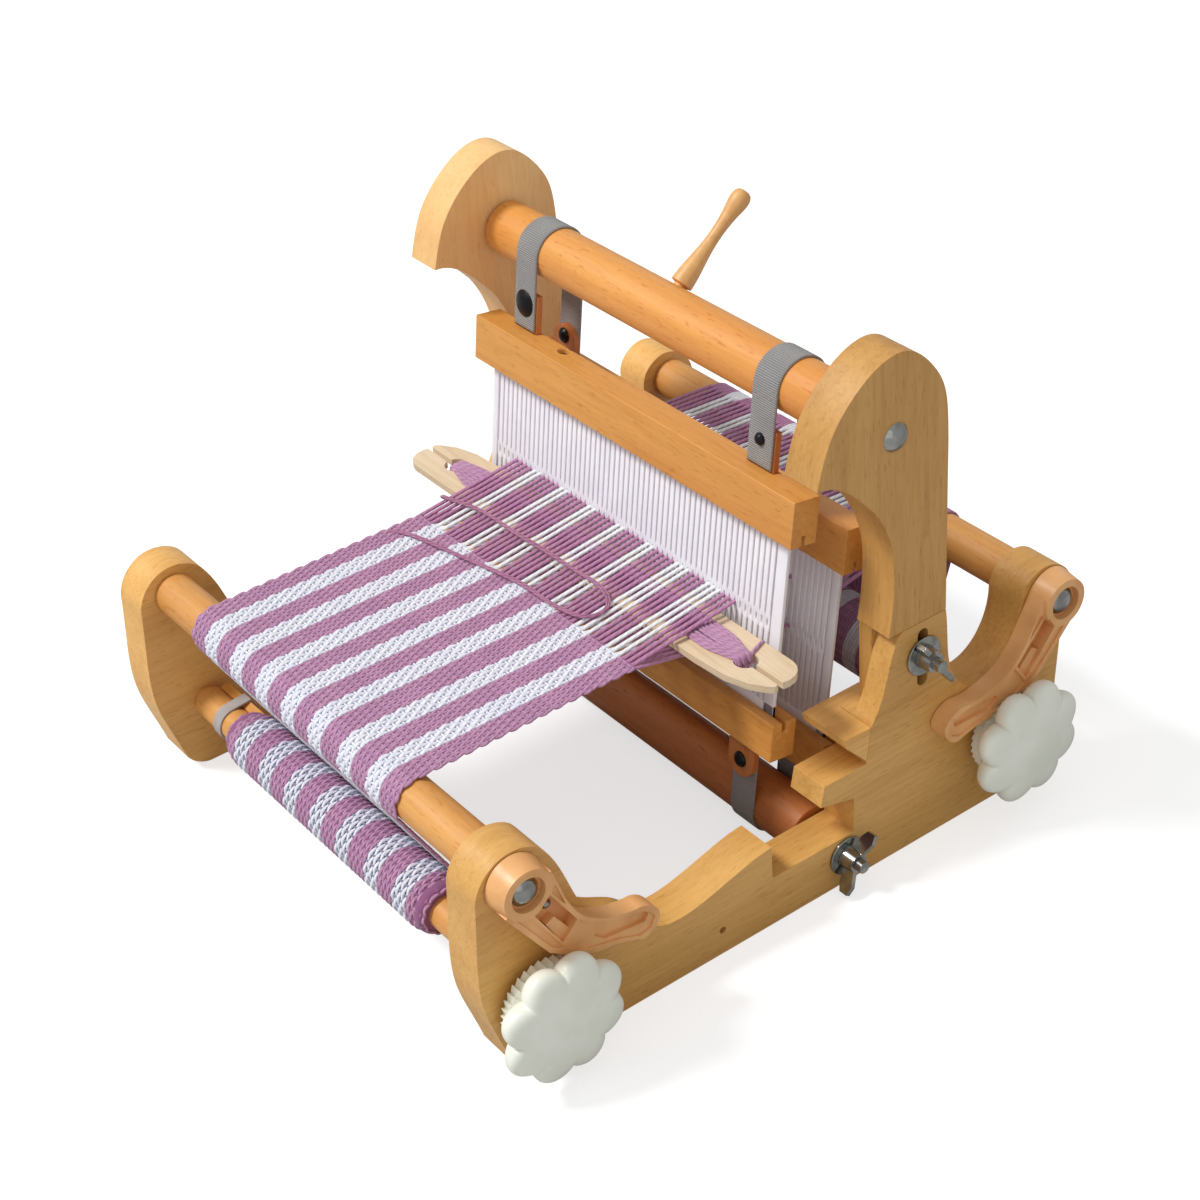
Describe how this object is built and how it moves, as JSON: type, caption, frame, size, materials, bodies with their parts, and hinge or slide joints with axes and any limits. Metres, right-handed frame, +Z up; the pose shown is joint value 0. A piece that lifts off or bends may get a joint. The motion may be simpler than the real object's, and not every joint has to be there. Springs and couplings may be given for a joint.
{
  "type": "table loom",
  "caption": "Small wooden table loom: two side frames, lying beams, strap-hung heddle frames on a turned roller, ratchet beams with flower knobs, a striped warp, cloth and stick shuttle.",
  "frame": {"origin": "bottom centre of the whole loom's box, on the table", "axes": "+Z up, +Y from the weaver to the back of the loom, +X to the side with the knobs"},
  "size_m": [0.3276, 0.331, 0.2603],
  "materials": {
    "beech": "oiled, lighter on the rounded edges",
    "beech_dowel": "oiled, smooth",
    "orange_dowel": "varnished, warm orange",
    "beech_bar": "oiled",
    "pale_wood": "bare, sanded",
    "wood_tab": "oiled",
    "black_screw": "blacked",
    "chrome": "polished",
    "white_plastic": "smooth, slightly translucent",
    "knob_plastic": "satin white",
    "grey_plastic": "matt, light grey",
    "tan_plastic": "moulded, wood coloured",
    "webbing": "woven tape",
    "striped_cloth": "plain weave, purple and white stripes",
    "striped_warp": "parallel threads, purple and white",
    "purple_yarn": "twisted yarn"
  },
  "bodies": {
    "sides": {"front_rail_left": "beech", "front_rail_right": "beech", "rear_rail_left": "beech", "rear_rail_right": "beech", "rest_block_left": "beech", "rest_block_right": "beech", "breast_beam": "beech_dowel", "back_beam": "beech_dowel", "breast_beam_bolts": "chrome", "back_beam_bolts": "chrome", "lap_bolts": "chrome", "lap_washers": "chrome", "woven_cloth": "striped_cloth", "warp_upper": "striped_warp", "warp_lower": "striped_warp", "warp_rear": "striped_warp", "weft_tail": "purple_yarn", "lower_strap_left": "webbing", "lower_strap_right": "webbing"},
    "gantry": {"upright_left": "beech", "upright_right": "beech", "upright_bolts": "chrome", "upright_washers": "chrome", "top_roller_bolts": "chrome", "top_strap_left": "webbing", "top_strap_right": "webbing"},
    "top_roller": {"top_roller": "orange_dowel", "roller_handle": "orange_dowel"},
    "front_frame": {"front_frame_top_bar": "beech_bar", "front_frame_bottom_bar": "beech_bar", "front_heddle_sheet": "white_plastic", "front_frame_tabs": "wood_tab", "front_frame_screws": "black_screw"},
    "rear_frame": {"rear_frame_top_bar": "beech_bar", "rear_frame_bottom_bar": "beech_bar", "rear_heddle_sheet": "white_plastic", "rear_frame_tabs": "wood_tab", "rear_frame_screws": "black_screw"},
    "lower_roller": {"lower_roller": "orange_dowel"},
    "cloth_beam": {"cloth_beam": "beech_dowel", "cloth_stick": "beech_bar", "cloth_bands": "grey_plastic", "cloth_knob": "knob_plastic", "cloth_roll": "striped_cloth"},
    "warp_beam": {"warp_beam": "beech_dowel", "warp_knob": "knob_plastic", "warp_roll": "striped_warp"},
    "front_pawl": {"front_pawl": "tan_plastic", "front_pawl_screw": "chrome"},
    "rear_pawl": {"rear_pawl": "tan_plastic", "rear_pawl_screw": "chrome"},
    "shuttle": {"shuttle": "pale_wood", "shuttle_yarn": "purple_yarn"},
    "lap_nut_left": {"lap_wing_nut_left": "chrome"},
    "lap_nut_right": {"lap_wing_nut_right": "chrome"},
    "upright_nut_left": {"upright_wing_nut_left": "chrome"},
    "upright_nut_right": {"upright_wing_nut_right": "chrome"}
  },
  "joints": [
    {"name": "gantry_lift", "type": "slide", "parent": "sides", "child": "gantry", "axis": [0, 0, 1], "range_m": [0, 0.003]},
    {"name": "top_roller_turn", "type": "hinge", "parent": "gantry", "child": "top_roller", "pos_m": [-0.0064, 0.0583, 0.217], "axis": [1, 0, 0], "range_deg": [0, 90]},
    {"name": "front_frame_slide", "type": "slide", "parent": "sides", "child": "front_frame", "axis": [0, 0.1425, 0.9898], "range_m": [-0.0213, 0], "deforming": ["top_strap_left", "top_strap_right", "warp_upper"]},
    {"name": "rear_frame_slide", "type": "slide", "parent": "sides", "child": "rear_frame", "axis": [0, 0.1425, 0.9898], "range_m": [0, 0.0216], "deforming": ["warp_lower", "lower_strap_left", "lower_strap_right"]},
    {"name": "lower_roller_turn", "type": "hinge", "parent": "sides", "child": "lower_roller", "pos_m": [-0.0064, 0.0293, 0.0155], "axis": [1, 0, 0], "range_deg": [0, 90]},
    {"name": "cloth_beam_turn", "type": "hinge", "parent": "sides", "child": "cloth_beam", "pos_m": [-0.0064, -0.1372, 0.036], "axis": [1, 0, 0], "continuous": true},
    {"name": "warp_beam_turn", "type": "hinge", "parent": "sides", "child": "warp_beam", "pos_m": [-0.0064, 0.1218, 0.041], "axis": [1, 0, 0], "continuous": true},
    {"name": "front_pawl_lift", "type": "hinge", "parent": "sides", "child": "front_pawl", "pos_m": [0.1436, -0.1432, 0.0995], "axis": [1, 0, 0], "range_deg": [0, 12]},
    {"name": "rear_pawl_lift", "type": "hinge", "parent": "sides", "child": "rear_pawl", "pos_m": [0.1436, 0.1498, 0.0995], "axis": [-1, 0, 0], "range_deg": [0, 12]},
    {"name": "shuttle_throw", "type": "slide", "parent": "sides", "child": "shuttle", "axis": [1, 0, 0], "range_m": [-0.24, 0.24]},
    {"name": "lap_nut_left_turn", "type": "hinge", "parent": "sides", "child": "lap_nut_left", "pos_m": [-0.1564, 0.0293, 0.0155], "axis": [-1, 0, 0], "continuous": true},
    {"name": "upright_nut_left_turn", "type": "hinge", "parent": "gantry", "child": "upright_nut_left", "pos_m": [-0.1564, 0.0744, 0.102], "axis": [-1, 0, 0], "continuous": true},
    {"name": "lap_nut_right_turn", "type": "hinge", "parent": "sides", "child": "lap_nut_right", "pos_m": [0.1436, 0.0293, 0.0155], "axis": [1, 0, 0], "continuous": true},
    {"name": "upright_nut_right_turn", "type": "hinge", "parent": "gantry", "child": "upright_nut_right", "pos_m": [0.1436, 0.0744, 0.102], "axis": [1, 0, 0], "continuous": true}
  ],
  "couplings": [
    {"joint": "rear_frame_slide", "follows": "front_frame_slide", "ratio": -1},
    {"joint": "top_roller_turn", "follows": "front_frame_slide", "rad_per_m": -73.53},
    {"joint": "lower_roller_turn", "follows": "front_frame_slide", "rad_per_m": -73.53}
  ]
}
